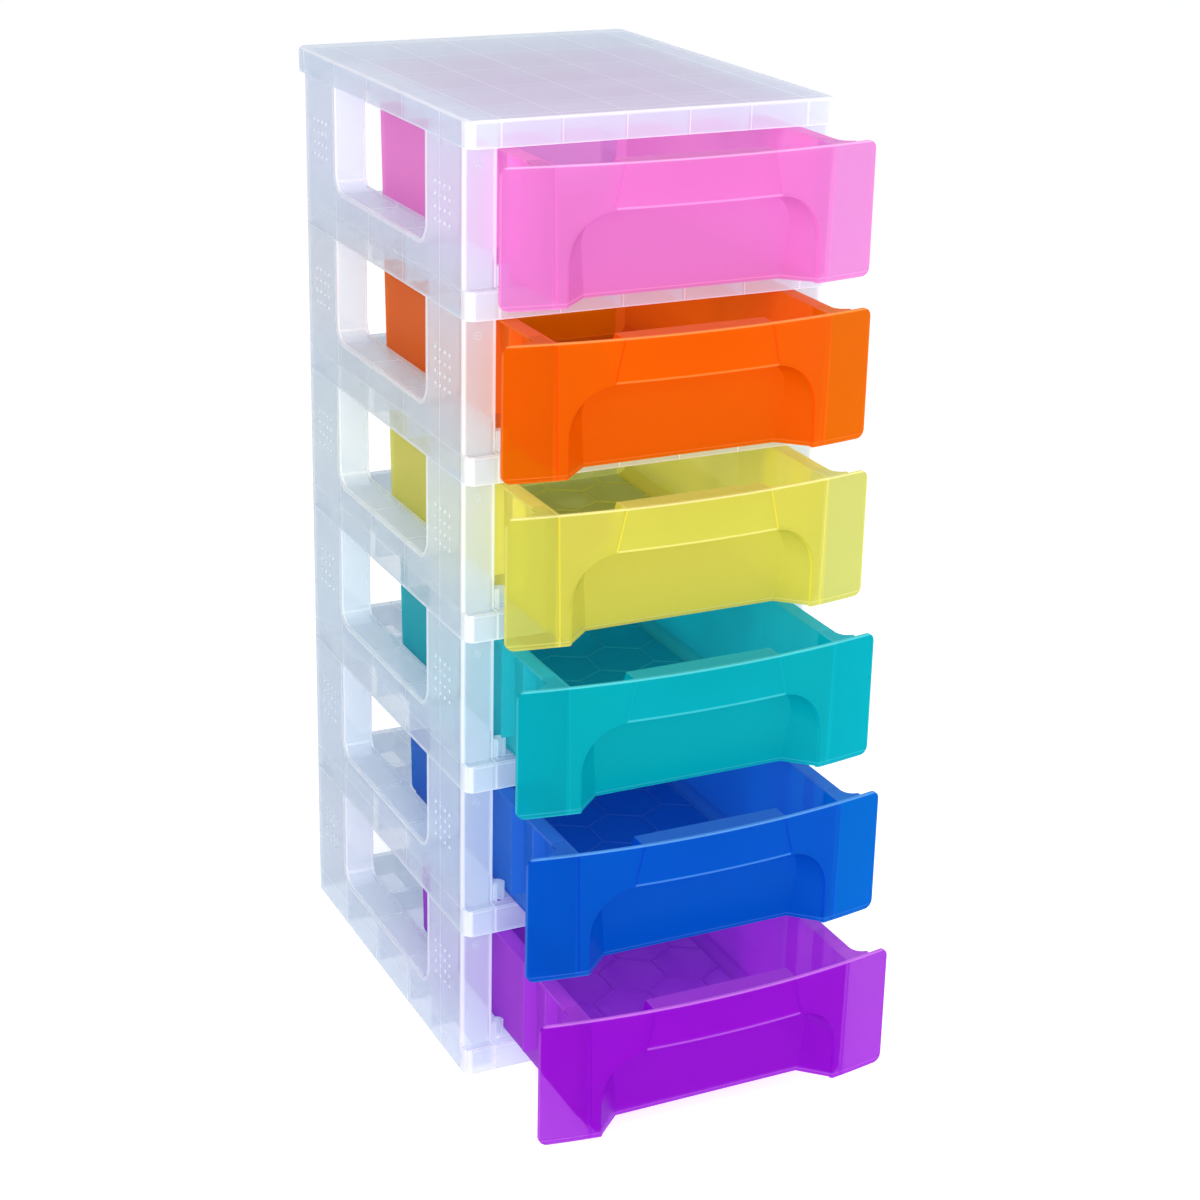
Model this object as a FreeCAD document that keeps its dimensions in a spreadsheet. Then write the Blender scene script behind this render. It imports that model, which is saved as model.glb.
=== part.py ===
"""Tower of six pull-out paper drawers: a lid, six stacked tier frames and six drawers, all plastic mouldings.

Axes: +X is the right-hand side seen from the front, +Y points to the back, +Z is up, in millimetres.
Each moulding is drawn in tier coordinates: x = 0 on the middle, y = 0 on the front face of the posts,
z = 0 on the underside of its own tier. Placements then stack the copies.
"""
import FreeCAD, Part
import os
import re
import Sketcher
from FreeCAD import Placement, Rotation, Vector

doc = FreeCAD.newDocument("PaperDrawerTower")
sizes = doc.addObject("Spreadsheet::Sheet", "Sizes")

# ---------------------------------------------------------------- driving dimensions, in millimetres
DIMENSIONS = {
    # tier frame
    "tier_width": 300.0,
    "tier_depth": 340.0,
    "tier_pitch": 125.0,
    "frame_wall": 2.4,
    "post_width": 26.5,
    "post_depth": 72.0,
    "post_corner": 4.0,
    "shelf_height": 22.0,
    "front_step": 10.0,
    "band_corner": 8.0,
    "sill_height": 41.5,
    "sill_rim": 3.0,
    "window_corner": 15.0,
    "rib_wall": 1.8,
    "rib_pitch": 51.0,
    "cross_rib_start": 44.0,
    "cross_rib_pitch": 74.0,
    "peg_diameter": 10.4,
    "peg_bore": 7.0,
    "peg_height": 15.0,
    "peg_setback": 3.0,
    "peg_gap": 1.0,
    "tongue_height": 4.0,
    "tongue_root": 6.0,
    "tongue_setback": 8.0,
    "tongue_length": 26.0,
    "tongue_wall": 1.8,
    "tongue_clearance": 0.4,
    # lid
    "lid_height": 20.4,
    "lid_rear_overhang": 18.0,
    "lid_edge": 3.0,
    # drawer
    "drawer_wall": 2.2,
    "drawer_length": 330.0,
    "slide_clearance": 0.3,
    "head_clearance": 1.5,
    "side_clearance": 1.0,
    "closing_clearance": 0.5,
    "flange_width": 10.0,
    "wall_lean": 2.0,
    "tub_corner": 10.0,
    "wing_fillet": 10.0,
    "panel_bow": 14.5,
    "panel_bottom": 21.5,
    "panel_corner": 7.0,
    "web_setback": 50.0,
    "web_spacing": 40.0,
    "web_bottom": 45.0,
    "stop_from_rear": 72.0,
    "stop_height": 8.0,
    "stop_length": 6.0,
    "stop_reach": 9.0,
    "stop_lift": 4.0,
    "rear_flange": 6.0,
    # finger pull in the drawer front
    "grip_height": 33.7,
    "lip_width": 132.0,
    "neck_width": 117.0,
    "mouth_width": 222.0,
    "plate_width": 158.0,
    "plate_shoulder": 25.0,
    "plate_setback": 13.0,
    "plate_top_setback": 2.0,
    # how far each drawer stands open
    "purple_opening": 138.6,
    "blue_opening": 112.2,
    "teal_opening": 91.7,
    "yellow_opening": 68.8,
    "orange_opening": 59.8,
    "pink_opening": 54.2,
}
for row, (alias, length) in enumerate(DIMENSIONS.items(), start=1):
    sizes.set(f"A{row}", alias.replace("_", " "))
    sizes.set(f"B{row}", str(length))
    sizes.setAlias(f"B{row}", alias)
doc.recompute()


def formula(text):
    """An expression for the document: every dimension's name gets the sheet's name in front."""
    return re.sub(r"[a-z]\w*", lambda word: f"Sizes.{word[0]}" if word[0] in DIMENSIONS else word[0], text)


def value(text):
    """The number that a formula comes to."""
    return float(sizes.evalExpression(formula(text)))


# ---------------------------------------------------------------- ways of making a solid
TOUCH = 1e-6


def block(name, x, y, z):
    """A box between two formulas along each axis."""
    box = doc.addObject("Part::Box", name)
    for axis, side, (low, high) in zip("xyz", ("Length", "Width", "Height"), (x, y, z)):
        box.setExpression(f"Placement.Base.{axis}", formula(low))
        box.setExpression(side, formula(f"({high}) - ({low})"))
    return box


def cylinder(name, centre, base, height, radius):
    """An upright cylinder on a centre (x, y)."""
    rod = doc.addObject("Part::Cylinder", name)
    rod.setExpression("Placement.Base.x", formula(centre[0]))
    rod.setExpression("Placement.Base.y", formula(centre[1]))
    rod.setExpression("Placement.Base.z", formula(base))
    rod.setExpression("Height", formula(height))
    rod.setExpression("Radius", formula(radius))
    return rod


PLANES = {
    "XY": (Rotation(), Vector(0, 0, 1), "z"),
    "XZ": (Rotation(Vector(1, 0, 0), 90), Vector(0, 1, 0), "y"),
    "YZ": (Rotation(Vector(1, 1, 1), 120), Vector(1, 0, 0), "x"),
}


def outline(name, plane, level, corners):
    """A closed sketch. A corner is (u, v) or, on a square corner that is rounded, (u, v, radius)."""
    rotation, _, axis = PLANES[plane]
    sketch = doc.addObject("Sketcher::SketchObject", name)
    sketch.Placement = Placement(Vector(), rotation)
    sketch.setExpression(f"Placement.Base.{axis}", formula(level))
    places = [Vector(value(corner[0]), value(corner[1]), 0) for corner in corners]
    ends = [corner_ends(places, number, corner) for number, corner in enumerate(corners)]
    points = [[Vector(value(u), value(v), 0) for u, v in pair] for pair in ends]
    sides = []
    for number, pair in enumerate(points):
        following = points[(number + 1) % len(points)]
        sides.append(sketch.addGeometry(Part.LineSegment(pair[-1], following[0])))
        fix_point(sketch, sides[-1], 1, ends[number][-1])
    for number, pair in enumerate(points):
        side_before, side_after = sides[number - 1], sides[number]
        if len(pair) == 1:
            sketch.addConstraint(Sketcher.Constraint("Coincident", side_before, 2, side_after, 1))
            continue
        fix_point(sketch, side_before, 2, ends[number][0])
        add_round(sketch, pair, places[number], corners[number][2], side_before, side_after)
    return sketch


def corner_ends(places, number, corner):
    """The formulas of the one point of a sharp corner, or of the two points where a round starts and ends."""
    if len(corner) == 2:
        return [corner]
    back = (places[number - 1] - places[number]).normalize()
    ahead = (places[(number + 1) % len(places)] - places[number]).normalize()
    u, v, radius = corner
    ends = []
    for turn in (back, ahead):
        ends.append((f"({u}) + ({radius}) * ({round(turn.x)})", f"({v}) + ({radius}) * ({round(turn.y)})"))
    return ends


def fix_point(sketch, side, end, formulas):
    """Holds one end of a line at its place from the sketch's origin."""
    for kind, text in zip(("DistanceX", "DistanceY"), formulas):
        index = sketch.addConstraint(Sketcher.Constraint(kind, -1, 1, side, end, value(text)))
        sketch.setExpression(f"Constraints[{index}]", formula(text))


def add_round(sketch, pair, corner, radius, side_before, side_after):
    """An arc that takes off a square corner of a sketch."""
    centre = pair[0] + pair[1] - corner
    crown = centre + (corner - centre).normalize() * value(radius)
    arc = sketch.addGeometry(Part.Arc(pair[0], crown, pair[1]))
    forward = sketch.Geometry[arc].StartPoint.isEqual(pair[0], TOUCH)
    near, far = (1, 2) if forward else (2, 1)
    sketch.addConstraint(Sketcher.Constraint("Coincident", arc, near, side_before, 2))
    sketch.addConstraint(Sketcher.Constraint("Coincident", arc, far, side_after, 1))
    index = sketch.addConstraint(Sketcher.Constraint("Radius", arc, value(radius)))
    sketch.setExpression(f"Constraints[{index}]", formula(radius))


def extrude(name, plane, span, corners):
    """A solid with an outline for its section, between two formulas along the plane's normal."""
    solid = doc.addObject("Part::Extrusion", name)
    solid.Base = outline(f"{name}_outline", plane, span[0], corners)
    solid.DirMode = "Custom"
    solid.Dir = PLANES[plane][1]
    solid.Solid = True
    solid.setExpression("LengthFwd", formula(f"({span[1]}) - ({span[0]})"))
    return solid


def loft(name, *outlines):
    """A solid with straight sides from one outline to the next."""
    solid = doc.addObject("Part::Loft", name)
    solid.Sections = list(outlines)
    solid.Solid = True
    solid.Ruled = True
    return solid


def fuse(name, *solids):
    """Several solids moulded as one."""
    joined = doc.addObject("Part::MultiFuse", name)
    joined.Shapes = list(solids)
    joined.Refine = True
    return joined


def cut(name, base, tool):
    """What is left of the base outside the tool."""
    rest = doc.addObject("Part::Cut", name)
    rest.Base = base
    rest.Tool = tool
    rest.Refine = True
    return rest


def common(name, base, tool):
    """What is left of the base inside the tool."""
    shared = doc.addObject("Part::Common", name)
    shared.Base = base
    shared.Tool = tool
    shared.Refine = True
    return shared


def mirror(name, source):
    """The same solid on the other side of the middle."""
    twin = doc.addObject("Part::Mirroring", name)
    twin.Source = source
    twin.Normal = Vector(1, 0, 0)
    return twin


def round_edges(name, base, radius, chosen):
    """A fillet on the edges that the test picks."""
    doc.recompute()
    fillet = doc.addObject("Part::Fillet", name)
    fillet.Base = base
    size = value(radius)
    edges = enumerate(base.Shape.Edges, start=1)
    fillet.Edges = [(number, size, size) for number, edge in edges if chosen(edge)]
    return fillet


def runs_along(edge, axis):
    """True for a straight edge along an axis."""
    first, last = edge.Vertexes[0].Point, edge.Vertexes[-1].Point
    return (last - first).cross(axis).Length < TOUCH and (last - first).Length > TOUCH


# ---------------------------------------------------------------- places that several pieces share
HALF = "tier_width / 2"
INSIDE = "(tier_width / 2 - post_width)"
RIB_TOP = "(shelf_height - frame_wall)"
MIDDLE_RIBS = ("-1.5", "-0.5", "0.5", "1.5")
CROSS_RIBS = ("0", "1", "2", "3")
SIDE_RIBS = (
    "post_depth - rib_wall / 2",
    "cross_rib_start + cross_rib_pitch",
    "cross_rib_start + cross_rib_pitch * 2",
    "tier_depth - post_depth + rib_wall / 2",
)


def underside_ribs(name, top):
    """The grid under a shelf or under the lid: four ribs front to back and four across."""
    ribs = []
    for number, step in enumerate(MIDDLE_RIBS):
        middle = f"rib_pitch * ({step})"
        ribs.append(
            block(
                f"{name}_rib_{number}",
                (f"{middle} - rib_wall / 2", f"{middle} + rib_wall / 2"),
                ("frame_wall / 2 - front_step", "tier_depth - frame_wall / 2"),
                ("0", top),
            )
        )
    for number, step in enumerate(CROSS_RIBS):
        middle = f"cross_rib_start + cross_rib_pitch * {step}"
        ribs.append(
            block(
                f"{name}_cross_rib_{number}",
                (f"0 - {INSIDE} - frame_wall / 2", f"{INSIDE} + frame_wall / 2"),
                (f"{middle} - rib_wall / 2", f"{middle} + rib_wall / 2"),
                ("0", top),
            )
        )
    return ribs


def side_ribs(name, top):
    """The short ribs on the right, from the side wall to the wall inside it."""
    across = (f"{INSIDE} + frame_wall / 2", f"{HALF} - frame_wall / 2")
    ribs = []
    for number, middle in enumerate(SIDE_RIBS):
        along = (f"{middle} - rib_wall / 2", f"{middle} + rib_wall / 2")
        ribs.append(block(f"{name}_{number}", across, along, ("0", top)))
    return ribs


# ---------------------------------------------------------------- tier frame
def tier_side():
    """The right side wall with its two posts, its window and the shelf-wide sill under the window."""
    wall = block("side_mass", (INSIDE, HALF), ("0", "tier_depth"), ("0", "tier_pitch"))
    inside = block(
        "side_inside",
        (f"{INSIDE} - frame_wall", f"{HALF} - frame_wall"),
        ("frame_wall", "tier_depth - frame_wall"),
        ("-frame_wall", "tier_pitch + frame_wall"),
    )
    surround = extrude(
        "window_surround",
        "YZ",
        (f"{INSIDE} - 2 * frame_wall", f"{HALF} + frame_wall"),
        [
            ("post_depth - frame_wall", "tier_pitch + 2 * frame_wall"),
            ("post_depth - frame_wall", "sill_height - frame_wall", "window_corner + frame_wall"),
            ("tier_depth - post_depth + frame_wall", "sill_height - frame_wall", "window_corner + frame_wall"),
            ("tier_depth - post_depth + frame_wall", "tier_pitch + 2 * frame_wall"),
        ],
    )
    window = extrude(
        "window",
        "YZ",
        (f"{INSIDE} - 2 * frame_wall", f"{HALF} + frame_wall"),
        [
            ("post_depth", "tier_pitch + 2 * frame_wall"),
            ("post_depth", "sill_height", "window_corner"),
            ("tier_depth - post_depth", "sill_height", "window_corner"),
            ("tier_depth - post_depth", "tier_pitch + 2 * frame_wall"),
        ],
    )
    shell = cut("side_shell", wall, cut("side_hollow", inside, surround))
    guide = block(
        "guide_wall",
        (INSIDE, f"{INSIDE} + frame_wall"),
        ("0", "tier_depth"),
        ("0", "sill_height + sill_rim"),
    )
    ribs = side_ribs("sill_rib", "sill_height - frame_wall")
    pieces = [cut("side_with_window", shell, window), guide, *ribs]
    face = f"{HALF} - frame_wall - tongue_clearance"
    for end, start in (
        ("front", "tongue_setback"),
        ("rear", "tier_depth - tongue_setback - tongue_length"),
    ):
        along = (start, f"{start} + tongue_length")
        root = (f"{face} - tongue_wall", f"{HALF} - frame_wall / 2")
        pieces.append(block(f"{end}_tongue_root", root, along, ("tier_pitch - tongue_root", "tier_pitch")))
        tip = (f"{face} - tongue_wall", face)
        reach = ("tier_pitch - tongue_root", "tier_pitch + tongue_height")
        pieces.append(block(f"{end}_tongue", tip, along, reach))
    return fuse("right_side", *pieces)


def tier_moulding():
    """A shelf on a grid of ribs with a band in front, four posts, two windows and two hollow pegs."""
    plan = [
        (f"-{HALF}", "-front_step", "band_corner"),
        (HALF, "-front_step", "band_corner"),
        (HALF, "tier_depth", "post_corner"),
        (f"-{HALF}", "tier_depth", "post_corner"),
    ]
    base = extrude("base", "XY", ("0", "shelf_height"), plan)
    under = block(
        "under_shelf",
        (f"frame_wall - {HALF}", f"{HALF} - frame_wall"),
        ("frame_wall - front_step", "tier_depth - frame_wall"),
        ("-frame_wall", RIB_TOP),
    )
    strip = block(
        "under_sill",
        (f"{INSIDE} + frame_wall", f"{HALF} - frame_wall"),
        ("frame_wall", "tier_depth - frame_wall"),
        ("-frame_wall", "shelf_height + frame_wall"),
    )
    tray = cut("tray", base, fuse("base_hollow", under, strip, mirror("under_sill_left", strip)))
    side = tier_side()
    peg_place = (f"{INSIDE} - peg_gap - peg_diameter / 2", "peg_setback")
    peg = cylinder("peg", peg_place, RIB_TOP, "frame_wall + peg_height", "peg_diameter / 2")
    bore = cylinder("peg_bore", peg_place, RIB_TOP, "frame_wall + peg_height + frame_wall", "peg_bore / 2")
    frame = fuse(
        "frame_rough",
        tray,
        side,
        mirror("left_side", side),
        peg,
        mirror("left_peg", peg),
        *underside_ribs("shelf", RIB_TOP),
    )
    frame = cut("frame_bored", frame, fuse("peg_bores", bore, mirror("left_peg_bore", bore)))
    # the posts' outer corners are rounded: only what lies inside the rounded plan stays
    reach = ("0", "tier_pitch + tongue_height + frame_wall")
    post_plan = [
        (f"-{HALF}", "0", "post_corner"),
        (HALF, "0", "post_corner"),
        (HALF, "tier_depth", "post_corner"),
        (f"-{HALF}", "tier_depth", "post_corner"),
    ]
    envelope = fuse(
        "frame_envelope",
        extrude("post_envelope", "XY", reach, post_plan),
        extrude("band_envelope", "XY", ("0", "shelf_height"), plan),
    )
    return common("tier_moulding", frame, envelope)


# ---------------------------------------------------------------- lid
def lid_moulding():
    """A flat top with rounded edges, a skirt all round and the same grid of ribs beneath."""
    rear = "(tier_depth + lid_rear_overhang)"
    plan = [
        (f"-{HALF}", "-front_step", "band_corner"),
        (HALF, "-front_step", "band_corner"),
        (HALF, rear, "band_corner"),
        (f"-{HALF}", rear, "band_corner"),
    ]
    slab = extrude("lid_slab", "XY", ("0", "lid_height"), plan)
    top = value("lid_height")
    soft = round_edges("lid_soft", slab, "lid_edge", lambda edge: edge.BoundBox.ZMin > top - TOUCH)
    ceiling = "(lid_height - frame_wall)"
    under = block(
        "under_lid",
        (f"frame_wall - {HALF}", f"{HALF} - frame_wall"),
        ("frame_wall - front_step", f"{rear} - frame_wall"),
        ("-frame_wall", ceiling),
    )
    bearer = block(
        "lid_bearer",
        (INSIDE, f"{INSIDE} + frame_wall"),
        ("frame_wall / 2 - front_step", f"{rear} - frame_wall / 2"),
        ("0", ceiling),
    )
    back_stop = block(
        "lid_back_rib",
        (f"frame_wall / 2 - {HALF}", f"{HALF} - frame_wall / 2"),
        ("tier_depth - frame_wall", "tier_depth"),
        ("0", ceiling),
    )
    side = fuse("lid_right", bearer, *side_ribs("lid_side_rib", ceiling))
    ribs = underside_ribs("lid", ceiling)
    shell = cut("lid_shell", soft, under)
    return fuse("lid_moulding", shell, side, mirror("lid_left", side), back_stop, *ribs)


# ---------------------------------------------------------------- drawer
WING_BACK = "(0 - wing_fillet - closing_clearance)"
WING = f"({WING_BACK} - drawer_wall)"
NOSE = f"({WING} - panel_bow)"
REAR = f"({WING} + drawer_length)"
FLOOR = "(shelf_height + slide_clearance)"
TOP = "(tier_pitch - head_clearance)"
RIM = f"({INSIDE} - side_clearance)"
TUB_TOP = f"({RIM} - flange_width)"
TUB_FLOOR = f"({TUB_TOP} - wall_lean)"
LIP = f"({TOP} - grip_height)"
BOW_RADIUS = "((tier_width ^ 2 / 4 + panel_bow ^ 2) / (2 * panel_bow))"
WEBS = ("0", "1")


def bow(name, radius):
    """The upright cylinder whose front is the bowed face of the panel."""
    return cylinder(name, ("0", f"{NOSE} + {BOW_RADIUS}"), "0", "tier_pitch", radius)


def tub_prism(name, span, inset, low, high):
    """A tub with leaning sides and rounded bottom edges, smaller all round by an inset."""
    prism = extrude(
        name,
        "XZ",
        span,
        [
            (f"{inset} - {TUB_FLOOR}", low),
            (f"{TUB_FLOOR} - ({inset})", low),
            (f"{TUB_TOP} - ({inset})", high),
            (f"{inset} - {TUB_TOP}", high),
        ],
    )
    bottom = value(low) + TOUCH
    return round_edges(
        f"{name}_round",
        prism,
        f"tub_corner - ({inset})",
        lambda edge: runs_along(edge, Vector(0, 1, 0)) and edge.Vertexes[0].Z < bottom,
    )


def pocket(name, grow, low, neck_top):
    """The room behind the grip and under the lip. Grown by a wall, it is the room with its wall."""
    low_back = f"{WING} + plate_setback + ({grow})"
    high_back = f"{WING} + plate_top_setback + ({grow})"
    front = f"{NOSE} - drawer_wall"
    reach = extrude(
        f"{name}_reach",
        "YZ",
        (f"-{HALF}", HALF),
        [
            (front, low),
            (low_back, low),
            (high_back, TOP),
            (front, TOP),
        ],
    )
    neck = extrude(
        f"{name}_neck",
        "XZ",
        (front, low_back),
        [
            (f"-lip_width / 2 - ({grow})", LIP),
            (f"lip_width / 2 + ({grow})", LIP),
            (f"neck_width / 2 + ({grow})", neck_top),
            (f"-neck_width / 2 - ({grow})", neck_top),
        ],
    )
    mouth = bell(f"{name}_mouth", front, "mouth_width / 2", "(mouth_width - lip_width) / 2", grow, low)
    plate = bell(f"{name}_plate", low_back, "plate_width / 2", "plate_shoulder", grow, low)
    flare = loft(f"{name}_flare", mouth, plate)
    return common(f"{name}_bell", flare, reach), common(f"{name}_grip", neck, reach)


def bell(name, level, half, shoulder, grow, low):
    """The outline of the mouth: straight sides, round shoulders and a flat top at the lip."""
    side = f"{half} + ({grow})"
    top = f"{LIP} + ({grow})"
    radius = f"{shoulder} + ({grow})"
    corners = [(f"-({side})", low), (side, low), (side, top, radius), (f"-({side})", top, radius)]
    return outline(name, "XZ", level, corners)


def drawer_moulding():
    """A tub with a rim, and a bowed front with a finger pull, whose wings stand out past both sides."""
    face = bow("bow_face", BOW_RADIUS)
    lining = bow("bow_lining", f"{BOW_RADIUS} - drawer_wall")
    outside = tub_prism("tub", (NOSE, REAR), "0", FLOOR, TOP)
    room_length = (NOSE, f"{REAR} - drawer_wall")
    room = tub_prism("room", room_length, "drawer_wall", f"{FLOOR} + drawer_wall", f"{TOP} + drawer_wall")
    rim_height = (f"{TOP} - drawer_wall", TOP)
    flange = block("flange", (TUB_FLOOR, RIM), (NOSE, f"{REAR} + rear_flange"), rim_height)
    rear_length = (f"{REAR} - drawer_wall", f"{REAR} + rear_flange")
    rear_rim = block("rear_rim", (f"-{RIM}", RIM), rear_length, rim_height)
    gusset_corner = (f"{RIM} + wing_fillet", f"{WING_BACK} + wing_fillet")
    gusset = cut(
        "wing_gusset",
        block("gusset_plate", (RIM, gusset_corner[0]), (NOSE, gusset_corner[1]), rim_height),
        cylinder("gusset_hollow", gusset_corner, f"{TOP} - 2 * drawer_wall", "3 * drawer_wall", "wing_fillet"),
    )
    webs = []
    for step in WEBS:
        start = f"{WING} + web_setback + web_spacing * {step}"
        along = (start, f"{start} + drawer_wall")
        webs.append(block(f"web_{step}", (TUB_FLOOR, RIM), along, ("web_bottom", TOP)))
    stop_start = f"{REAR} - stop_from_rear"
    stop = block(
        "stop",
        (f"{TUB_FLOOR} - drawer_wall / 2", f"{TUB_FLOOR} + stop_reach"),
        (stop_start, f"{stop_start} + stop_length"),
        (f"{FLOOR} + stop_lift", f"{FLOOR} + stop_lift + stop_height"),
    )
    right = fuse("drawer_right", flange, gusset, *webs, stop)
    plate = extrude(
        "panel_plate",
        "XZ",
        (f"{NOSE} - drawer_wall", f"{WING_BACK} + drawer_wall"),
        [
            (f"-{HALF}", "panel_bottom", "panel_corner"),
            (HALF, "panel_bottom", "panel_corner"),
            (HALF, TOP, "panel_corner"),
            (f"-{HALF}", TOP, "panel_corner"),
        ],
    )
    panel = common("panel", cut("bowed_sheet", face, lining), plate)
    wall_bell, wall_grip = pocket("pocket_wall", "drawer_wall", FLOOR, TOP)
    mass = fuse("drawer_mass", outside, right, mirror("drawer_left", right), rear_rim)
    tub = cut("tub_open", mass, common("room_inside", room, lining))
    body = common("behind_face", fuse("tub_and_pocket", tub, wall_bell, wall_grip), face)
    room_bell, room_grip = pocket("pocket_room", "0", "panel_bottom - drawer_wall", f"{TOP} - drawer_wall")
    fingers = fuse("finger_room", room_bell, common("grip_room", room_grip, lining))
    return cut("drawer_moulding", fuse("drawer_solid", body, panel), fingers)


# ---------------------------------------------------------------- the tower
# y = 0 of the tower is half-way between the drawer that stands out most and the back of the lid
FARTHEST = "max(purple_opening; blue_opening; teal_opening; yellow_opening; orange_opening; pink_opening)"
POST_FACE = f"({FARTHEST} - {NOSE} - tier_depth - lid_rear_overhang) / 2"
COLOURS = ("purple", "blue", "teal", "yellow", "orange", "pink")


def place(node, moulding, forward, height):
    """A copy of a moulding, moved forward from the posts' face and up."""
    piece = doc.addObject("Part::Refine", node)
    piece.Label = node
    piece.Source = moulding
    piece.setExpression("Placement.Base.y", formula(f"{POST_FACE} - ({forward})"))
    piece.setExpression("Placement.Base.z", formula(height))
    return piece


frame_source = tier_moulding()
drawer_source = drawer_moulding()
nodes = [place("lid", lid_moulding(), "0", f"tier_pitch * {len(COLOURS)}")]
for level, colour in enumerate(COLOURS):
    nodes.append(place(f"tier_frame_{level + 1}", frame_source, "0", f"tier_pitch * {level}"))
    nodes.append(place(f"{colour}_drawer", drawer_source, f"{colour}_opening", f"tier_pitch * {level}"))
doc.recompute()

for item in doc.Objects:
    if "Invalid" in item.State or "Error" in item.State:
        raise RuntimeError(f"{item.Label} failed: {item.State}")
for node in nodes:
    if node.Shape.isNull() or not node.Shape.isValid() or len(node.Shape.Solids) != 1:
        raise RuntimeError(f"{node.Label} is not one valid solid")

os.makedirs("parts", exist_ok=True)
for node in nodes:
    node.Shape.exportStep(f"parts/{node.Label}.step")
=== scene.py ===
import math
from collections import namedtuple

import bmesh
import bpy
from mathutils import Matrix, Vector


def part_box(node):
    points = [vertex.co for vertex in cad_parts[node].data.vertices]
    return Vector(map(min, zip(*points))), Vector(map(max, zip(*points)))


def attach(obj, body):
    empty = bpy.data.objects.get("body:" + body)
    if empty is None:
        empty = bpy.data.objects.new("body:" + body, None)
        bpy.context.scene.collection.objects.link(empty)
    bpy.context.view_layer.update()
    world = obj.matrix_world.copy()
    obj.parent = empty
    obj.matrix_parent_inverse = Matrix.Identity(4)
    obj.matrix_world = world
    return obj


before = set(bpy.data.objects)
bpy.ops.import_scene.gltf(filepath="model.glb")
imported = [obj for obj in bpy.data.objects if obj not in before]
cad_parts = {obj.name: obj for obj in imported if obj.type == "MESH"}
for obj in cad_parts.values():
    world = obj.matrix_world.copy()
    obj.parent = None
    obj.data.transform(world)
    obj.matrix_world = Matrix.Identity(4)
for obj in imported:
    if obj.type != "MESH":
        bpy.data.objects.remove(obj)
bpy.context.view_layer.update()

# Tier frames: six like mouldings of milky, nearly clear polypropylene, stacked on short tongues.
# Where a rib or a rim meets the eye end-on there is more plastic along the line of sight, so those
# places are whiter and less clear than the open walls. The round front corners of the posts and the
# band and the lid's round upper edge are whiter too: partly more plastic seen at a slant, partly a
# painted highlight.
TIERS = 6
PITCH = 0.125
BAND_STEP = 0.010
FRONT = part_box("tier_frame_1")[0].y + BAND_STEP
TIER_DEPTH = 0.340
POST_DEPTH = 0.072
SIDE = 0.150
GUIDE = 0.1235
FRAME_WALL = 0.0024
RIB = 0.0018
RIB_PITCH = 0.051
CROSS_PITCH = 0.074
CROSS_MIDDLE = 0.155
SHELF = 0.022
SILL = 0.0415
WINDOW_CORNER = 0.015
WINDOW_RIM = 0.0040
BAND_CORNER = 0.008
POST_CORNER = 0.004
LID_TOP = PITCH * TIERS + 0.0204
LID_EDGE = 0.0028
FACE_GAP = 0.00012
FACE_BLUR = 0.00038
WHITE = (1.0, 1.0, 1.0)


class Socket:
    """An output of a shader node. Arithmetic on it adds the Math nodes that work out the sum."""

    def __init__(self, tree, output=None):
        self.tree = tree
        self.output = output

    def node(self, kind, settings=None, sockets=None, output=0):
        """Adds a node: its settings first, then the values or links of its sockets."""
        made = self.tree.nodes.new("ShaderNode" + kind)
        for name, setting in (settings or {}).items():
            setattr(made, name, setting)
        for key, given in (sockets or {}).items():
            if isinstance(given, Socket):
                self.tree.links.new(given.output, made.inputs[key])
            else:
                made.inputs[key].default_value = given
        return Socket(self.tree, made.outputs[output] if made.outputs else None)

    def math(self, operation, *others):
        values = dict(enumerate((self,) + others))
        return self.node("Math", {"operation": operation}, values)

    def __add__(self, other):
        return self.math("ADD", other)

    def __radd__(self, other):
        return self.math("ADD", other)

    def __sub__(self, other):
        return self.math("SUBTRACT", other)

    def __rsub__(self, other):
        return (self * -1) + other

    def __mul__(self, other):
        return self.math("MULTIPLY", other)

    def __rmul__(self, other):
        return self.math("MULTIPLY", other)

    def __abs__(self):
        return self.math("ABSOLUTE")

    def __mod__(self, other):
        return self.math("FLOORED_MODULO", other)

    def larger(self, other):
        return self.math("MAXIMUM", other)

    def smaller(self, other):
        return self.math("MINIMUM", other)

    def rise(self, low, high):
        """0 below the low value and 1 above the high one."""
        return self.node("MapRange", sockets={"Value": self, "From Min": low, "From Max": high})

    def inside(self, wall):
        """1 between the two faces of a wall that is centred on 0, a hair in from each face."""
        edge = wall / 2 - FACE_GAP
        return abs(self).rise(edge, edge - FACE_BLUR)


def mix_color(factor, first, second):
    """A colour between two colours. Either colour may be a socket."""
    return factor.node("Mix", {"data_type": "RGBA"}, {"Factor": factor, 6: first, 7: second}, output=2)


def opaque(color):
    """A colour with its fourth part, as sockets take it."""
    return (*color, 1.0)


def surface_point(material, shift=(0.0, 0.0, 0.0)):
    """A new tree for the material, with the point of the surface and its x, y and z after a shift."""
    material.use_nodes = True
    material.node_tree.nodes.clear()
    start = Socket(material.node_tree)
    place = start.node("TexCoord", output="Object")
    place = start.node("Mapping", sockets={"Vector": place, "Location": shift})
    split = start.node("SeparateXYZ", sockets={"Vector": place}).output.node
    return place, [Socket(material.node_tree, split.outputs[axis]) for axis in "XYZ"]


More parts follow.
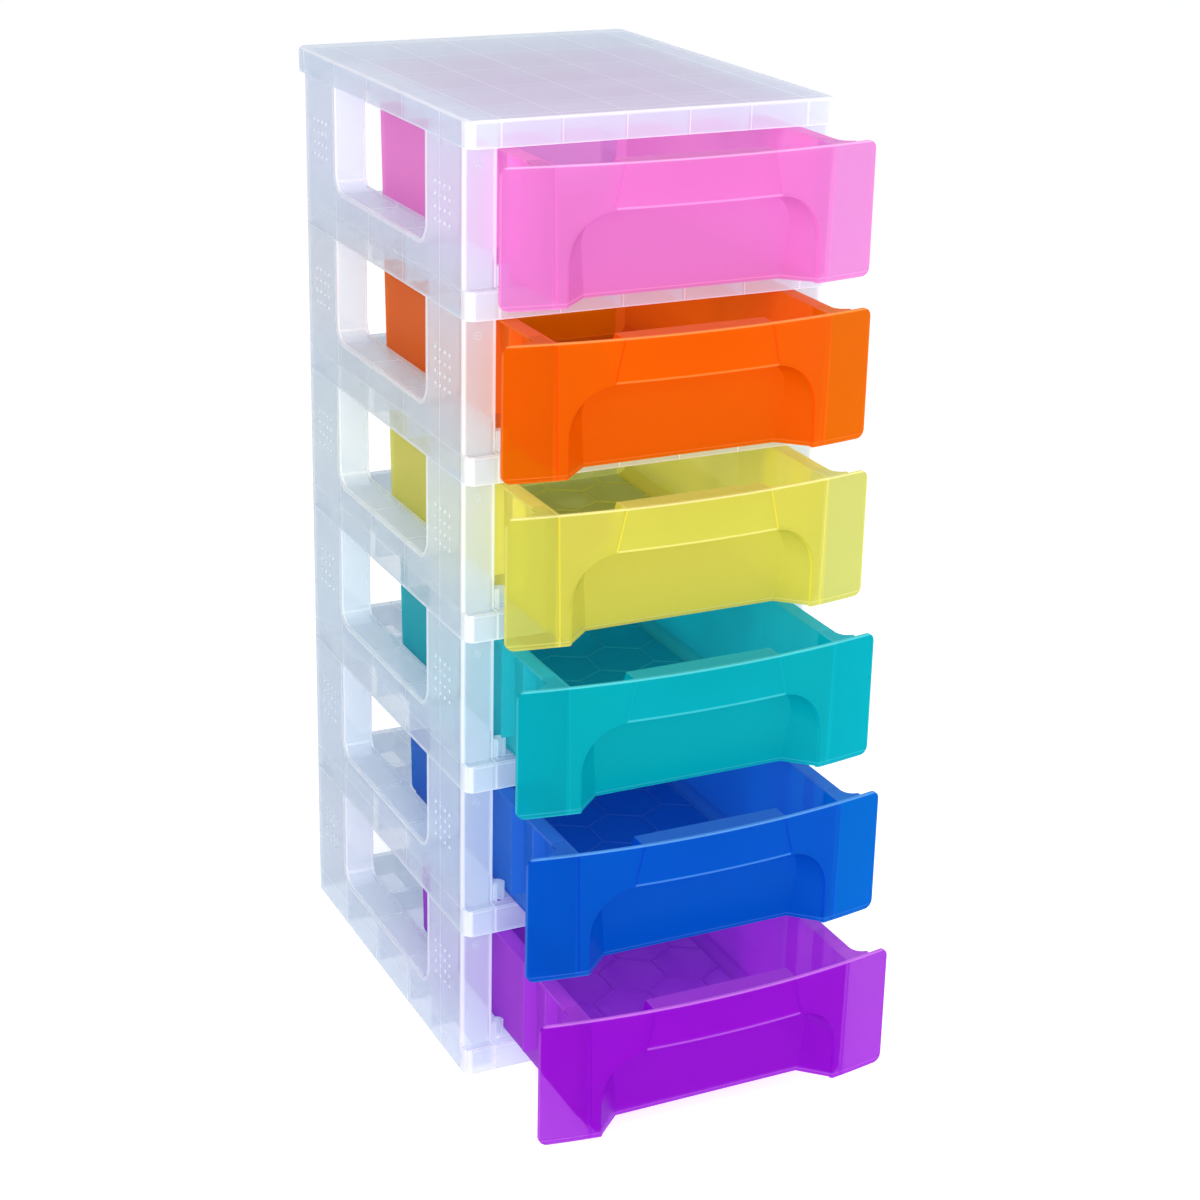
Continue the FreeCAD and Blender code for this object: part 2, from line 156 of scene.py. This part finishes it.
def see_through_plastic(material, place, color, clearness, body, veil, gloss, shade):
    """Moulded plastic that is partly clear: what is behind it shows in the veil's colour, the rest is
    scattered by a body that glows on both sides. Lamps reach through it in the shade's colour."""
    ripple = place.node("TexNoise", sockets={"Vector": place, "Scale": 70.0, "Detail": 0.0})
    normal = place.node("Bump", sockets={"Height": ripple, "Strength": 0.08, "Distance": 0.0005})
    skin = place.node(
        "BsdfPrincipled",
        sockets={
            "Base Color": color,
            "Roughness": 0.24,
            "Specular IOR Level": gloss,
            "Normal": normal,
        },
    )
    inner = place.node("BsdfTranslucent", sockets={"Color": body})
    solid = place.node("MixShader", sockets={0: 0.40, 1: skin, 2: inner})
    clear = place.node("BsdfTransparent", sockets={"Color": veil})
    seen = place.node("MixShader", sockets={0: clearness, 1: solid, 2: clear})
    lit = place.node("BsdfTransparent", sockets={"Color": shade})
    shadow = place.node("LightPath", output="Is Shadow Ray")
    both = place.node("MixShader", sockets={0: shadow, 1: seen, 2: lit})
    place.node("OutputMaterial", sockets={"Surface": both})


def milky_clear_plastic(name):
    """The frames' and the lid's plastic. Each mask is 1 where one kind of wall is seen end-on; the
    masks of the round edges are whitened partly as a painted highlight.
    """
    material = bpy.data.materials.new(name)
    place, (x, y, z) = surface_point(material, (0.0, -FRONT, 0.0))
    level = z % PITCH
    side = abs(x)
    end = abs(y - TIER_DEPTH / 2)
    long_ribs = abs(abs(side - RIB_PITCH) - RIB_PITCH / 2).inside(RIB)
    cross_ribs = abs(abs(abs(y - CROSS_MIDDLE) - CROSS_PITCH) - CROSS_PITCH / 2).inside(RIB)
    guides = (side - (GUIDE + FRAME_WALL / 2)).inside(FRAME_WALL)
    outer = (side - (SIDE - FRAME_WALL / 2)).inside(FRAME_WALL)
    band = (y + (BAND_STEP - FRAME_WALL / 2)).inside(FRAME_WALL)
    posts = (end - (TIER_DEPTH / 2 - FRAME_WALL / 2)).inside(FRAME_WALL)
    shelf = (level - (SHELF - FRAME_WALL / 2)).inside(FRAME_WALL)
    # how far a point is outside the window, whose two lower corners are round, and the rim there
    across = end - (TIER_DEPTH / 2 - POST_DEPTH - WINDOW_CORNER)
    down = (SILL + WINDOW_CORNER) - level
    corner = (across.larger(0.0).math("POWER", 2.0) + down.larger(0.0).math("POWER", 2.0)).math("SQRT")
    beyond = corner + across.larger(down).smaller(0.0) - WINDOW_CORNER
    window = (beyond - WINDOW_RIM / 2).inside(WINDOW_RIM)
    # the joint between two frames, and the round front corners of the posts and of the band, which are
    # whitened partly as a painted highlight
    seam = abs(level - PITCH / 2).rise(PITCH / 2 - 0.0010, PITCH / 2 - 0.0003)
    past_post = (side - (SIDE - POST_CORNER)).smaller(POST_CORNER - y)
    past_band = (side - (SIDE - BAND_CORNER)).smaller((BAND_CORNER - BAND_STEP) - y)
    post_round_highlight = past_post.rise(0.0004, 0.0022)
    band_round_highlight = past_band.rise(0.0008, 0.0044)
    pips = side.rise(SIDE + 0.00002, SIDE + 0.00012)
    # the lid's round upper edge, but not its flat top, whitened partly as a painted highlight
    brim_highlight = z.rise(LID_TOP - LID_EDGE, LID_TOP - 0.0016) * z.rise(LID_TOP - 0.00004, LID_TOP - 0.00025)
    ends_and_highlights = outer.larger(band).larger(post_round_highlight).larger(band_round_highlight * 0.2).larger(pips)
    soft_ends = long_ribs.larger(cross_ribs).larger(guides).larger(posts).larger(seam).larger(window)
    # this mask holds the end-on walls and the painted highlights on the round edges: it whitens the
    # tint and makes the plastic less clear
    dense_and_highlights = ends_and_highlights.larger(soft_ends * 0.65).larger(brim_highlight * 0.7).larger(shelf * 0.3)
    cloud = place.node("TexNoise", sockets={"Vector": place, "Scale": 7.0, "Detail": 0.0})
    tint = mix_color(cloud, opaque((0.78, 0.84, 0.91)), opaque((0.86, 0.90, 0.94)))
    tint = mix_color(dense_and_highlights, tint, opaque(WHITE))
    see_through_plastic(
        material,
        place,
        tint,
        0.56 - dense_and_highlights * 0.46,
        body=opaque((0.775, 0.82, 0.87)),
        veil=opaque((0.90, 0.925, 0.945)),
        gloss=0.4,
        shade=opaque((0.76, 0.775, 0.79)),
    )
    return material


clear_polypropylene = milky_clear_plastic("clear_polypropylene_frame")
FRAMES = [f"tier_frame_{number + 1}" for number in range(TIERS)]
for name in FRAMES:
    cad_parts[name].data.materials.clear()
    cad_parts[name].data.materials.append(clear_polypropylene)

# Grip pips: four by four low round pips on the outer face of each post, moulded with the frame.
# Beside the front posts' top there is the mould's gate mark, a nub in a shallow ring.
PIP = 0.0017
PIP_RISE = 0.0005
PIP_STEPS = (-0.0141, -0.0047, 0.0047, 0.0141)
PIP_LEVEL = 0.0776
PIP_SETBACK = 0.0386
GATE_LEVEL = 0.1114
GATE_SIDE = 0.1374
GATE = 0.0011
GATE_RISE = 0.0003
GATE_RING = 0.0028
GATE_WIRE = 0.0003


def new_piece(name, mesh, body, material):
    """An object made of a finished bmesh, which moves with a body."""
    data = bpy.data.meshes.new(name)
    mesh.to_mesh(data)
    mesh.free()
    piece = bpy.data.objects.new(name, data)
    bpy.context.scene.collection.objects.link(piece)
    piece.data.materials.append(material)
    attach(piece, body)
    return piece


def low_dome(mesh, center, radius, rise, normal):
    """A round pip whose middle stands out by the rise, along an axis."""
    facing = Vector((0, 0, 1)).rotation_difference(Vector(normal)).to_matrix().to_4x4()
    place = Matrix.Translation(center) @ facing @ Matrix.Diagonal((radius, radius, rise, 1))
    made = bmesh.ops.create_uvsphere(mesh, u_segments=10, v_segments=5, radius=1, matrix=place)
    for vertex in made["verts"]:
        for face in vertex.link_faces:
            face.smooth = True


for number, name in enumerate(FRAMES):
    marks = bmesh.new()
    for side in (-SIDE, SIDE):
        for middle in (PIP_SETBACK, TIER_DEPTH - PIP_SETBACK):
            for along in PIP_STEPS:
                for up in PIP_STEPS:
                    center = (side, FRONT + middle + along, PITCH * number + PIP_LEVEL + up)
                    low_dome(marks, center, PIP, PIP_RISE, (1, 0, 0))
    for side in (-GATE_SIDE, GATE_SIDE):
        gate = Vector((side, FRONT, PITCH * number + GATE_LEVEL))
        low_dome(marks, gate, GATE, GATE_RISE, (0, 1, 0))
        start = Matrix.Translation(gate + Vector((GATE_RING, 0, 0)))
        ring = bmesh.ops.create_circle(marks, segments=8, radius=GATE_WIRE, matrix=start)
        edges = list({edge for vertex in ring["verts"] for edge in vertex.link_edges})
        bmesh.ops.spin(
            marks,
            geom=ring["verts"] + edges,
            cent=gate,
            axis=(0, 1, 0),
            angle=math.tau,
            steps=24,
            use_merge=True,
        )
    bmesh.ops.recalc_face_normals(marks, faces=marks.faces)
    new_piece(f"{name}_pips", marks, "tower", clear_polypropylene)

# Lid: one flat moulding of the same plastic, which drops over the tongues of the top frame and
# reaches past its rear. The grid of ribs under it shows through the top as pale lines.
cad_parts["lid"].data.materials.clear()
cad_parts["lid"].data.materials.append(clear_polypropylene)

# Drawers: each is one moulding in a tinted see-through polypropylene. Walls that are seen end-on show
# as deeper lines. The free edges, the lip and the top of the front get paler lines, which are painted
# highlights, and the side walls get a paler colour, which is painted light.
DRAWER_WALL = 0.0022
FLOOR = 0.0223
TOP = 0.1235
LIP = 0.0898
HEM = 0.0220
TUB_FLOOR = 0.1105
WALL_LEAN = 0.002
FRONT_MIDDLE = 0.1120
WALL_ZONE = 0.0992
NECK = 0.066
NECK_LEAN = 0.0075
NOSE = 0.0272
BOW_RISE = 0.0145
BOW = (SIDE**2 + BOW_RISE**2) / (2 * BOW_RISE)
OPENINGS = {
    "purple": 0.1386,
    "blue": 0.1122,
    "teal": 0.0917,
    "yellow": 0.0688,
    "orange": 0.0598,
    "pink": 0.0542,
}
Tint = namedtuple("Tint", "body veil pale front_clearness clearness")
# the body's colour, the colour that comes through, the colour of its pale lines (the painted
# highlights and the painted light on the side walls), and how clear a wall is in the middle of the
# front and elsewhere
TINTS = {
    "purple": Tint((0.42, 0.006, 0.68), (0.70, 0.42, 0.82), (0.95, 0.34, 0.97), 0.43, 0.55),
    "blue": Tint((0.0, 0.150, 0.68), (0.0, 0.46, 0.74), (0.20, 0.58, 0.98), 0.42, 0.54),
    "teal": Tint((0.0, 0.57, 0.63), (0.0, 0.58, 0.66), (0.18, 0.88, 0.92), 0.43, 0.55),
    "yellow": Tint((0.94, 0.85, 0.17), (0.64, 0.72, 0.50), (1.0, 0.97, 0.55), 0.56, 0.66),
    "orange": Tint((0.94, 0.188, 0.0), (0.68, 0.42, 0.02), (1.0, 0.48, 0.12), 0.43, 0.54),
    "pink": Tint((1.0, 0.35, 0.74), (0.72, 0.56, 0.80), (1.0, 0.64, 0.90), 0.58, 0.62),
}


def tinted_plastic(name, number):
    """A drawer's plastic. Each mask is 1 where one kind of wall or edge is."""
    tint = TINTS[name]
    material = bpy.data.materials.new(f"{name}_polypropylene_drawer")
    place, (x, y, z) = surface_point(material, (0.0, OPENINGS[name] - FRONT, -PITCH * number))
    side = abs(x)
    reach = (x * x + (y + (NOSE - BOW)).math("POWER", 2.0)).math("SQRT")
    sheet = (reach - (BOW - DRAWER_WALL / 2)).inside(DRAWER_WALL - 0.0003)
    tub_wall = side - (z - FLOOR) * (WALL_LEAN / (TOP - FLOOR))
    tub = (tub_wall - (TUB_FLOOR - DRAWER_WALL / 2)).inside(DRAWER_WALL)
    neck_wall = side + (z - LIP) * (NECK_LEAN / (TOP - LIP))
    neck = (neck_wall - (NECK + DRAWER_WALL / 2)).inside(DRAWER_WALL) * z.rise(LIP, LIP + 0.002)
    # a painted highlight along the lip
    lip_highlight = (z - (LIP + DRAWER_WALL / 2)).inside(DRAWER_WALL) * side.rise(NECK + 0.0005, NECK)
    # painted highlights along the top edges, the top of the bowed front, the lower edges and the
    # wings' outer edges
    rim_highlight = z.rise(TOP - 0.0008, TOP - 0.0003)
    behind_sheet = BOW - DRAWER_WALL
    brow_highlight = z.rise(TOP - 0.0017, TOP - 0.0009) * reach.rise(behind_sheet - 0.0006, behind_sheet)
    hem_highlight = z.rise(HEM + 0.0012, HEM)
    wing_edge_highlight = side.rise(SIDE - 0.0012, SIDE - 0.0004)
    # the ridges of the floor, and the round inner corner along the foot of its walls, drawn both
    # deeper and with a painted highlight
    ridges = abs(z - (FLOOR + DRAWER_WALL + 0.0005)).rise(0.0006, 0.0003)
    # the pale lines are painted highlights; the deep lines are walls seen end-on
    painted_highlights = brow_highlight.larger(lip_highlight * 0.55).larger(rim_highlight * 0.4).larger(ridges * 0.35)
    painted_highlights = painted_highlights.larger(wing_edge_highlight * 0.4).larger(hem_highlight * 0.3)
    deep_lines = sheet.larger(tub).larger(neck).larger(ridges * 0.6)
    # the middle of the front is another thickness than the wings; the side walls are less clear, being
    # seen at a slant, and their paler colour is painted light
    middle = side.rise(FRONT_MIDDLE + 0.0015, FRONT_MIDDLE) * y.rise(0.006, 0.003)
    painted_wall_light = side.rise(WALL_ZONE, WALL_ZONE + 0.0010) * y.rise(0.002, 0.006)
    cloud = place.node("TexNoise", sockets={"Vector": place, "Scale": 11.0, "Detail": 0.0})
    dim = opaque(0.90 * part for part in tint.body)
    deep = opaque(part**1.6 for part in tint.body)
    color = mix_color(cloud, dim, opaque(tint.body))
    color = mix_color(deep_lines * 0.85, color, deep)
    # the pale colour mixed in here is painted: highlights on the edges and light on the side walls
    color = mix_color(painted_highlights.larger(painted_wall_light * 0.35) * 0.8, color, opaque(tint.pale))
    clear = tint.clearness + middle * (tint.front_clearness - tint.clearness)
    see_through_plastic(
        material,
        place,
        color,
        clear * (1 - painted_highlights.larger(deep_lines * 0.8).larger(painted_wall_light * 0.8) * 0.55),
        body=opaque(tint.body),
        veil=opaque(tint.veil),
        gloss=0.08,
        shade=opaque(0.70 + 0.28 * part for part in tint.veil),
    )
    return material


# Honeycomb: low ridges that stiffen the drawer's floor, hexagons with two sides front to back. They
# are moulded with the drawer, as is the hollow rounding along the foot of its side walls.
CELL_SIDE = 0.0294
CELL_WIDTH = CELL_SIDE * math.sqrt(3)
CELL_ROW = CELL_SIDE * 1.5
FIRST_ROW = 0.0048
ROWS = 8
COLUMNS = range(-2, 4)
RIDGE = 0.0016
RIDGE_RISE = 0.0008
FLOOR_HALF = 0.0990
FLOOR_ENDS = (0.006, 0.3140)
FOOT_ROUND = 0.009
FOOT_STEPS = 8
SUNK = 0.0001


def honeycomb(front, level):
    """The ridges of one drawer's floor: hexagons, inset so that only the net between them is left.
    The two roundings where the floor turns up into the side walls go with them."""
    net = bmesh.new()
    for row in range(ROWS):
        for column in COLUMNS:
            middle = (
                CELL_WIDTH * (column - (row + 1) % 2 / 2),
                front + FIRST_ROW + CELL_ROW * row,
                level,
            )
            bmesh.ops.create_circle(
                net, cap_ends=True, segments=6, radius=CELL_SIDE, matrix=Matrix.Translation(middle)
            )
    bmesh.ops.remove_doubles(net, verts=net.verts, dist=0.0002)
    cells = list(net.faces)
    bmesh.ops.inset_individual(net, faces=cells, thickness=RIDGE / 2, use_even_offset=True)
    bmesh.ops.delete(net, geom=cells, context="FACES")
    cuts = (
        ((-FLOOR_HALF, 0, 0), (-1, 0, 0)),
        ((FLOOR_HALF, 0, 0), (1, 0, 0)),
        ((0, front + FLOOR_ENDS[0], 0), (0, -1, 0)),
        ((0, front + FLOOR_ENDS[1], 0), (0, 1, 0)),
    )
    for spot, outward in cuts:
        everything = net.verts[:] + net.edges[:] + net.faces[:]
        bmesh.ops.bisect_plane(net, geom=everything, plane_co=spot, plane_no=outward, clear_outer=True)
    bmesh.ops.solidify(net, geom=net.faces[:], thickness=-RIDGE_RISE)
    for hand in (-1, 1):
        foot = Vector((hand * (TUB_FLOOR - DRAWER_WALL + SUNK), front + FLOOR_ENDS[0], level))
        profile = [foot]
        for step in range(FOOT_STEPS + 1):
            angle = math.radians(90 * step / FOOT_STEPS)
            across = FOOT_ROUND * (1 - math.sin(angle))
            up = FOOT_ROUND * (1 - math.cos(angle))
            profile.append(foot + Vector((-hand * across, 0, up)))
        section = net.faces.new([net.verts.new(point) for point in profile])
        made = bmesh.ops.extrude_face_region(net, geom=[section], use_keep_orig=True)
        moved = [item for item in made["geom"] if isinstance(item, bmesh.types.BMVert)]
        bmesh.ops.translate(net, verts=moved, vec=(0, FLOOR_ENDS[1] - FLOOR_ENDS[0], 0))
    bmesh.ops.recalc_face_normals(net, faces=net.faces)
    return net


for number, name in enumerate(TINTS):
    material = tinted_plastic(name, number)
    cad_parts[f"{name}_drawer"].data.materials.clear()
    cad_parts[f"{name}_drawer"].data.materials.append(material)
    ridges = honeycomb(FRONT - OPENINGS[name], PITCH * number + FLOOR + DRAWER_WALL - SUNK)
    new_piece(f"{name}_floor_ridges", ridges, f"{name}_drawer_body", material)

# Floor and studio: a pale floor that keeps the tower's soft shadow, with white behind it. The eye
# sees both as white, directly, in a gloss and through the plastic, while they light it more softly.
FLOOR_REACH = 8.0
FLOOR_DROP = 0.0003
PAPER = (0.86, 0.86, 0.87)


def shown_rays(start):
    """1 for the rays that reach the eye, which are drawn whiter than what lights the tower."""
    camera_ray = start.node("LightPath", output="Is Camera Ray")
    glossy_ray = start.node("LightPath", output="Is Glossy Ray")
    clear_ray = start.node("LightPath", output="Is Transmission Ray")
    return camera_ray.larger(glossy_ray).larger(clear_ray)


floor_mesh = bmesh.new()
place = Matrix.Translation((0, 0, -FLOOR_DROP))
bmesh.ops.create_grid(floor_mesh, x_segments=1, y_segments=1, size=FLOOR_REACH, matrix=place)
floor_data = bpy.data.meshes.new("floor")
floor_mesh.to_mesh(floor_data)
floor_mesh.free()
floor = bpy.data.objects.new("floor", floor_data)
bpy.context.scene.collection.objects.link(floor)
floor_paint = bpy.data.materials.new("floor_paint")
spot, _ = surface_point(floor_paint)
matte = spot.node("BsdfDiffuse", sockets={"Color": opaque(PAPER)})
white = spot.node("Emission", sockets={"Color": opaque(WHITE), "Strength": 0.52})
lifted = spot.node("AddShader", sockets={0: matte, 1: white})
floor_seen = spot.node("MixShader", sockets={0: shown_rays(spot), 1: matte, 2: lifted})
spot.node("OutputMaterial", sockets={"Surface": floor_seen})
floor_data.materials.append(floor_paint)

world = bpy.data.worlds.new("studio")
bpy.context.scene.world = world
world.use_nodes = True
world.node_tree.nodes.clear()
sky = Socket(world.node_tree)
direction = sky.node("TexCoord", output="Generated")
behind = direction.node("SeparateXYZ", sockets={"Vector": direction}, output="Y").rise(-0.8, 0.2)
glow = mix_color(behind, opaque((0.98, 0.98, 1.0)), opaque((0.34, 0.36, 0.38)))
soft = sky.node("Background", sockets={"Color": glow, "Strength": 1.0})
bright = sky.node("Background", sockets={"Color": opaque(WHITE), "Strength": 1.0})
sky_seen = sky.node("MixShader", sockets={0: shown_rays(sky), 1: soft, 2: bright})
sky.node("OutputWorld", sockets={"Surface": sky_seen})


def softbox(name, place, aim, size, power, color):
    """A square studio lamp at a place, turned towards a point."""
    lamp = bpy.data.lights.new(name, "AREA")
    lamp.size = size
    lamp.energy = power
    lamp.color = color
    stand = bpy.data.objects.new(name, lamp)
    stand.location = place
    stand.rotation_euler = (Vector(aim) - Vector(place)).to_track_quat("-Z", "Y").to_euler()
    bpy.context.scene.collection.objects.link(stand)


softbox("front_lamp", (-1.1, -2.4, 1.4), (0, 0, 0.40), 1.6, 46, (1.0, 1.0, 0.99))
softbox("left_lamp", (-1.2, -1.1, 1.3), (-0.1, 0, 0.60), 0.6, 3, (1.0, 0.99, 0.99))
softbox("right_lamp", (1.9, -1.3, 0.6), (0, -0.1, 0.40), 1.0, 16, (1.0, 0.99, 0.99))
softbox("top_lamp", (-0.2, -0.9, 2.6), (0, -0.1, 0.70), 1.2, 8, (1.0, 0.98, 0.99))

# Camera: to the left of the front and above it, looking down on the lid, with a slight roll and a
# small shift of the picture that brings the tower to its middle.
CAMERA_PLACE = (-0.8141, -1.6873, 1.0853)
AZIMUTH, ELEVATION, ROLL = (math.radians(angle) for angle in (-25.366, 19.480, 1.0206))

lens = bpy.data.cameras.new("camera")
lens.lens = 73.801
lens.sensor_width = 36.0
lens.shift_x = 0.0234
lens.shift_y = -0.07
camera = bpy.data.objects.new("camera", lens)
level_part = math.cos(ELEVATION)
back = (math.sin(AZIMUTH) * level_part, -math.cos(AZIMUTH) * level_part, math.sin(ELEVATION))
camera.location = CAMERA_PLACE
camera.rotation_mode = "QUATERNION"
turn = Matrix.Rotation(ROLL, 4, "Z").to_quaternion()
camera.rotation_quaternion = (-Vector(back)).to_track_quat("-Z", "Y") @ turn
bpy.context.scene.collection.objects.link(camera)
bpy.context.scene.camera = camera
bpy.context.scene.view_settings.view_transform = "Standard"
bpy.context.scene.cycles.transparent_max_bounces = 40
